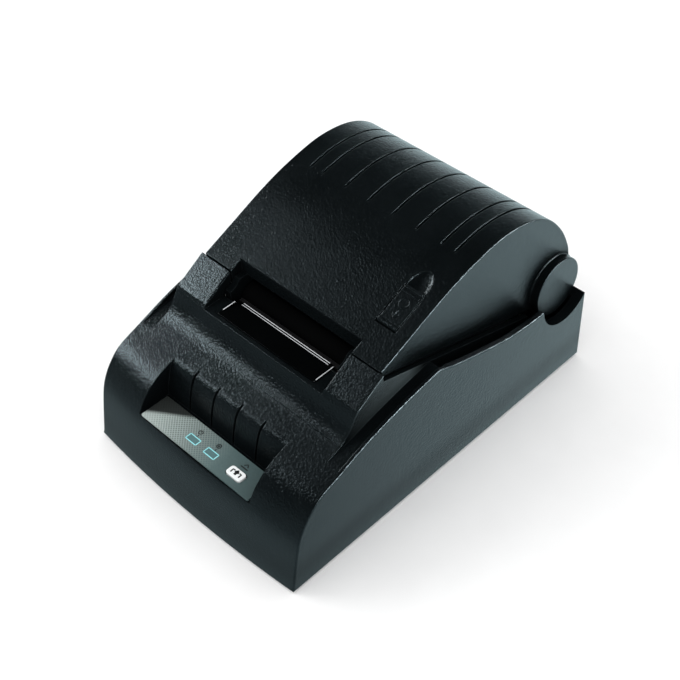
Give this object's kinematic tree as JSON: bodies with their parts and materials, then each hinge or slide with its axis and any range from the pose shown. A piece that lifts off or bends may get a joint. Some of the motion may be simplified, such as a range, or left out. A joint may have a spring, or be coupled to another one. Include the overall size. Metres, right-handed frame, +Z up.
{
  "type": "receipt printer",
  "caption": "Desktop thermal receipt printer with a hinged lid, finger latch, tear bar, platen roller with gear train, feed button and rear power switch.",
  "frame": {"origin": "middle of the footprint, at the soles of the feet", "axes": "+X to the printer's right seen from the front, +Y from front to back, +Z up"},
  "size_m": [0.11, 0.1662, 0.086],
  "materials": {
    "case_black": "fine-grained moulded ABS, satin black",
    "inner_black": "moulded plastic, matt black",
    "steel": "bright stamped and turned steel",
    "aluminium": "extruded, satin",
    "rubber": "matt black rubber",
    "label_silver": "silver-grey printed film, satin",
    "lens_cyan": "clear pale cyan, glossy",
    "button_white": "white, satin",
    "gear_white": "natural acetal",
    "board_green": "green solder mask",
    "ceramic": null,
    "cable_white": "flat cable, white film",
    "port_grey": "dark grey connector plastic"
  },
  "bodies": {
    "base": {"case": "case_black", "bottom_plate": "inner_black", "case_screw_1": "steel", "case_screw_2": "steel", "case_screw_3": "steel", "case_screw_4": "steel", "foot_front_right": "rubber", "foot_front_left": "rubber", "foot_rear_right": "rubber", "foot_rear_left": "rubber", "hinge_pin_right": "steel", "hinge_pin_left": "steel", "label_plate": "label_silver", "power_lens": "lens_cyan", "status_lens": "lens_cyan", "power_led": "button_white", "status_led": "button_white", "feed_key_switch": "port_grey", "panel_board": "board_green", "tear_bar": "steel", "print_frame": "steel", "head_pivot_rod": "steel", "head_spring_left": "steel", "head_spring_right": "steel", "head_cable": "cable_white", "stepper_motor": "steel", "idler_stud": "steel", "idler_clip": "steel", "paper_bin": "inner_black", "paper_guide": "inner_black", "paper_sensor": "port_grey", "main_board": "board_green", "power_jack": "port_grey", "usb_port": "steel", "drawer_port": "port_grey", "switch_body": "inner_black"},
    "lid": {"lid": "case_black", "latch_pin": "steel", "platen_bushing_right": "gear_white", "platen_bushing_left": "gear_white"},
    "latch": {"latch_lever": "case_black"},
    "feed_key": {"feed_button": "button_white"},
    "power_rocker": {"switch_rocker": "inner_black"},
    "print_head": {"heat_sink": "aluminium", "thermal_head": "ceramic"},
    "platen": {"platen_shaft": "steel", "platen_rubber": "rubber", "platen_gear": "gear_white"},
    "idler": {"idler_gear": "gear_white"},
    "motor_rotor": {"motor_shaft": "steel", "motor_pinion": "gear_white"}
  },
  "joints": [
    {"name": "lid_hinge", "type": "hinge", "parent": "base", "child": "lid", "pos_m": [0, 0.0704, 0.0429], "axis": [-1, 0, 0], "range_deg": [0, 80]},
    {"name": "latch_pivot", "type": "hinge", "parent": "lid", "child": "latch", "pos_m": [0.03565, -0.0096, 0.07], "axis": [1, 0, 0], "range_deg": [0, 30], "stiffness_Nm_per_rad": 0.02, "springref_deg": -9.74},
    {"name": "feed_press", "type": "slide", "parent": "base", "child": "feed_key", "axis": [0, 0, -1], "range_m": [0, 0.0005], "stiffness_N_per_m": 400, "springref_m": -0.0005},
    {"name": "power_rock", "type": "hinge", "parent": "base", "child": "power_rocker", "pos_m": [0.0315, 0.0788, 0.0175], "axis": [1, 0, 0], "range_deg": [0, 16]},
    {"name": "head_rock", "type": "hinge", "parent": "base", "child": "print_head", "pos_m": [0, -0.029, 0.0434], "axis": [1, 0, 0], "range_deg": [0, 1.5]},
    {"name": "platen_spin", "type": "hinge", "parent": "lid", "child": "platen", "pos_m": [0, -0.0196, 0.0525], "axis": [1, 0, 0], "continuous": true},
    {"name": "idler_spin", "type": "hinge", "parent": "base", "child": "idler", "pos_m": [-0.038, -0.0196, 0.0387], "axis": [1, 0, 0], "continuous": true},
    {"name": "motor_spin", "type": "hinge", "parent": "base", "child": "motor_rotor", "pos_m": [-0.038, -0.02766, 0.03064], "axis": [1, 0, 0], "continuous": true}
  ],
  "couplings": [
    {"joint": "idler_spin", "follows": "platen_spin", "ratio": -0.76923},
    {"joint": "motor_spin", "follows": "platen_spin", "ratio": 1.6667}
  ]
}
